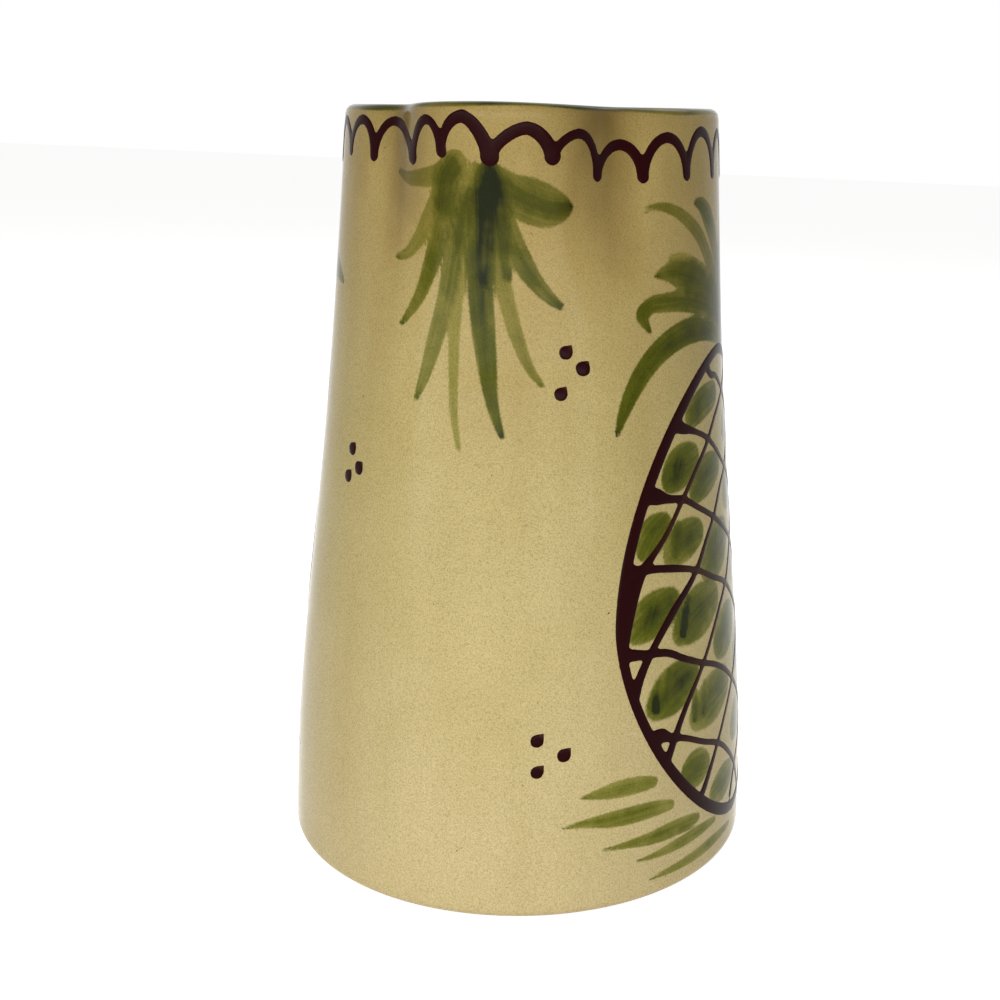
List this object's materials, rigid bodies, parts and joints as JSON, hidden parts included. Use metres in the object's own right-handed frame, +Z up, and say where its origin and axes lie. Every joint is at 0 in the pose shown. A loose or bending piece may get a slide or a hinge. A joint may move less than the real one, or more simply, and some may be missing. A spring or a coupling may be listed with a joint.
{
  "type": "pitcher",
  "caption": "Tapered hand-painted glazed earthenware pitcher with a pinched pouring lip in front and a strap handle behind.",
  "frame": {"origin": "centre of the flat underside, on the axis of the thrown body", "axes": "+Z up along the body's axis; -Y towards the pouring lip; +Y towards the handle"},
  "size_m": [0.1282, 0.1658, 0.2013],
  "materials": {
    "cream_glaze": "gloss",
    "brown_slip": "gloss"
  },
  "bodies": {
    "root": {"jug_body": "cream_glaze", "strap_handle": "cream_glaze", "upper_joining_coil": "cream_glaze", "lower_joining_coil": "cream_glaze"}
  },
  "joints": []
}
